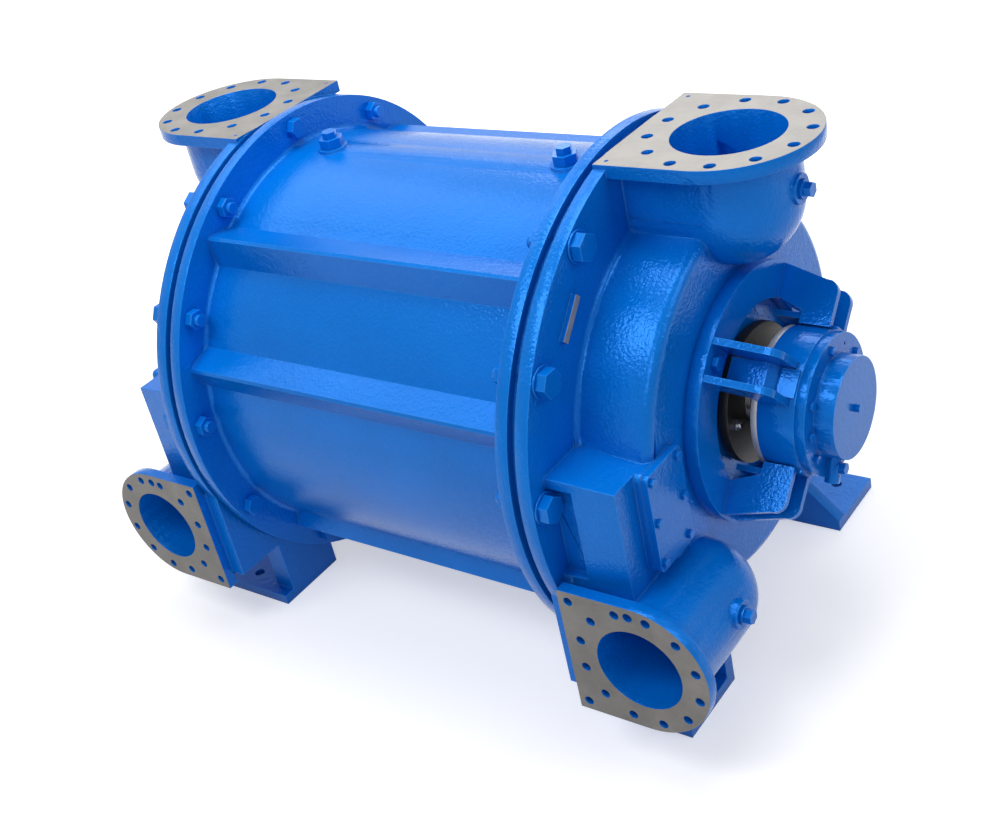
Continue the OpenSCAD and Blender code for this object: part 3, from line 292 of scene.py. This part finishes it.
def dull_material(name, dark, light, rough, size, height_mm, metallic=0.0):
    """A dull rough surface, such as pressed fibre, rubber or an unpainted casting."""
    material, tree, shader = new_material(name)
    where = place_of(tree)
    grain = noise(tree, where, size, 5, 0.6)
    tree.links.new(ramp(tree, grain, [(LOW, dark), (HIGH, light)]), shader.inputs["Base Color"])
    gloss = ramp(tree, grain, [(LOW, rough), (HIGH, rough + 0.1)])
    tree.links.new(gloss, shader.inputs["Roughness"])
    shader.inputs["Metallic"].default_value = metallic
    bump = add(tree, "ShaderNodeBump", {"Height": grain}, Strength=1.0, Distance=height_mm * MM)
    tree.links.new(bump.outputs["Normal"], shader.inputs["Normal"])
    return material


casting_paint = blue_enamel("blue_enamel_on_sand_casting", 2.0, 11)
bracket_paint = blue_enamel("blue_enamel_on_bearing_casting", 1.2, 7)
fastener_paint = blue_enamel("blue_enamel_on_steel", 0.35, 2.5)
ground_pale = ground_iron("ground_inlet_faces", "#7A7875", "#A09D99")
# Painted shade: a darker copy of the same ground iron for the front-facing discharge faces
ground_painted_shade = ground_iron("ground_discharge_faces_painted_shade", "#5C5A57", "#807D79")
ground_steel = bare_metal("turned_cast_iron", "#A8A49C", "#D6D2CA", 0.3, metallic=0.45)
bright_steel = bare_metal("ground_bearing_steel", "#85878A", "#B4B6B8", 0.2)
dark_casting = dull_material("oiled_black_casting", "#0A0A0A", "#191817", 0.42, 5 * MM, 0.3)
cast_bronze = bare_metal("cast_bronze", "#7A5A2E", "#A98548", 0.34, turned=False)
gasket_sheet = dull_material("pressed_fibre_sheet_with_paint_run_over_it", "#004A98", "#0058B2",
                             0.4, 2 * MM, 0.1)
braid = dull_material("graphited_braid", "#1E1D1C", "#3A3835", 0.55, 3 * MM, 0.5)
seal_rubber = dull_material("moulded_rubber", "#0C0C0D", "#1A1A1B", 0.45, 1 * MM, 0.05)

# The material that each record slot takes
BY_SLOT = {
    "blue_paint": casting_paint,
    "blue_paint_smooth": fastener_paint,
    "ground_iron": ground_steel,
    "dark_iron": dark_casting,
    "steel": bright_steel,
    "bronze": cast_bronze,
    "gasket": gasket_sheet,
    "packing": braid,
    "seal_rubber": seal_rubber,
}

def ground_faces(node):
    """Gives the inlet and discharge faces and the raised lug's end their bare ground metal; the
    discharge faces take a darker copy as painted shade.
    """
    node.data.materials.append(ground_pale)
    node.data.materials.append(ground_painted_shade)
    for face in node.data.polygons:
        out, normal = abs(face.center.x), face.normal
        if out < HEAD_FACE_X + FACE_SKIN:
            continue
        if abs(face.center.z - INLET_FACE_Z) < FACE_SKIN and normal.z > FACING:
            face.material_index = 1
        elif (abs(face.center.y - DISCHARGE_FACE_Y) < FACE_SKIN and normal.y < -FACING
              and face.center.z < SHAFT.z - LUG_ABOVE_SHAFT / 2):
            # Painted shade: the discharge faces take the darker copy of the ground iron
            face.material_index = 2
        elif (abs(out - LUG_FACE_X) < FACE_SKIN and abs(normal.x) > FACING
              and face.center.z > SHAFT.z + LUG_ABOVE_SHAFT):
            face.material_index = 1


def dress_nodes():
    """Gives each CAD node its material and softens its edges."""
    slots = {part["node"]: part["material_slot"] for part in frame["record"]["subparts"]}
    for name, node in frame["nodes"].items():
        node.data.materials.clear()
        node.data.materials.append(bracket_paint if name in FINE_CASTINGS else BY_SLOT[slots[name]])
        if name.startswith("head_") and name != "head_gaskets":
            ground_faces(node)
        weld = node.modifiers.new("weld", "WELD")
        weld.merge_threshold = WELD
        flats = node.modifiers.new("flats", "DECIMATE")
        flats.decimate_type = "DISSOLVE"
        flats.angle_limit = FLAT_ANGLE
        bevel = node.modifiers.new("rounding", "BEVEL")
        bevel.width = ROUNDING.get(name, SMALL_ROUNDING) * MM
        bevel.segments = ROUNDING_SEGMENTS
        bevel.limit_method = "ANGLE"
        bevel.angle_limit = SHARP_ANGLE
        bevel.harden_normals = True
        bevel.use_clamp_overlap = name not in FREE_ROUNDING
        bevel.miter_outer = "MITER_ARC"


def seen_rays(tree):
    """1 for the rays that show the surround itself or its mirror image, 0 for those that light."""
    rays = add(tree, "ShaderNodeLightPath").outputs
    mirrored = maths(tree, "MAXIMUM", rays["Is Glossy Ray"], rays["Is Transmission Ray"])
    return maths(tree, "MAXIMUM", rays["Is Camera Ray"], mirrored)


def make_stage():
    """A pale floor that keeps a soft shadow and is white where nothing shades it."""
    bpy.ops.mesh.primitive_plane_add(size=FLOOR_SIZE)
    floor = bpy.context.object
    floor.name = "floor"
    material, tree, shader = new_material("pale_floor")
    shader.inputs["Base Color"].default_value = linear(FLOOR_COLOUR)
    shader.inputs["Roughness"].default_value = 0.9
    seen = seen_rays(tree)
    away = add(tree, "ShaderNodeVectorMath", {"Vector": place_of(tree)},
               operation="LENGTH").outputs["Value"]
    lift = add(tree, "ShaderNodeMapRange", {"Value": away}, interpolation_type="SMOOTHSTEP",
               From_Min=FLOOR_NEAR, From_Max=FLOOR_FAR, To_Min=FLOOR_LIFT,
               To_Max=1.0).outputs["Result"]
    shader.inputs["Emission Color"].default_value = linear(WHITE)
    tree.links.new(maths(tree, "MULTIPLY", seen, lift), shader.inputs["Emission Strength"])
    floor.data.materials.append(material)


def area_lamp(name, place, size, power):
    """A rectangular soft box at a place, turned to the pump's middle."""
    data = bpy.data.lights.new(name, "AREA")
    data.shape = "RECTANGLE"
    data.size, data.size_y = size
    data.energy = power
    lamp = bpy.data.objects.new(name, data)
    lamp.location = place
    lamp.rotation_euler = (Vector(MIDDLE) - Vector(place)).to_track_quat("-Z", "Y").to_euler()
    bpy.context.scene.collection.objects.link(lamp)


def make_lights():
    """The soft boxes, and a white surround that lights the pump only a little."""
    for name, (place, size, power) in LAMPS.items():
        area_lamp(name, place, size, power)
    world = bpy.data.worlds.new("studio")
    bpy.context.scene.world = world
    world.use_nodes = True
    tree = world.node_tree
    tree.nodes.clear()
    seen = seen_rays(tree)
    white = add(tree, "ShaderNodeBackground", Color=linear(WHITE), Strength=1.0)
    light = add(tree, "ShaderNodeBackground", Color=linear(WHITE), Strength=WORLD_LIGHT)
    both = add(tree, "ShaderNodeMixShader")
    tree.links.new(seen, both.inputs[0])
    tree.links.new(light.outputs[0], both.inputs[1])
    tree.links.new(white.outputs[0], both.inputs[2])
    add(tree, "ShaderNodeOutputWorld", {"Surface": both.outputs[0]})


def make_camera():
    """The photograph's view: place, turn and lens."""
    azimuth, elevation = math.radians(CAMERA_AZIMUTH), math.radians(CAMERA_ELEVATION)
    roll = math.radians(CAMERA_ROLL)
    back = Vector((math.sin(azimuth) * math.cos(elevation),
                   -math.cos(azimuth) * math.cos(elevation), math.sin(elevation)))
    right = Vector((math.cos(azimuth), math.sin(azimuth), 0))
    up = back.cross(right)
    turned_right = math.cos(roll) * right + math.sin(roll) * up
    turned_up = math.cos(roll) * up - math.sin(roll) * right
    data = bpy.data.cameras.new("camera")
    data.sensor_width = SENSOR_MM
    data.lens = FOCAL_PX / PICTURE_W * SENSOR_MM
    camera = bpy.data.objects.new("camera", data)
    turn = Matrix((turned_right, turned_up, back)).transposed().to_4x4()
    camera.matrix_world = Matrix.Translation(CAMERA_PLACE) @ turn
    bpy.context.scene.collection.objects.link(camera)
    bpy.context.scene.camera = camera


make_camera()
dress_nodes()
make_stage()
make_lights()
bpy.context.scene.view_settings.view_transform = "Standard"
bpy.context.view_layer.update()
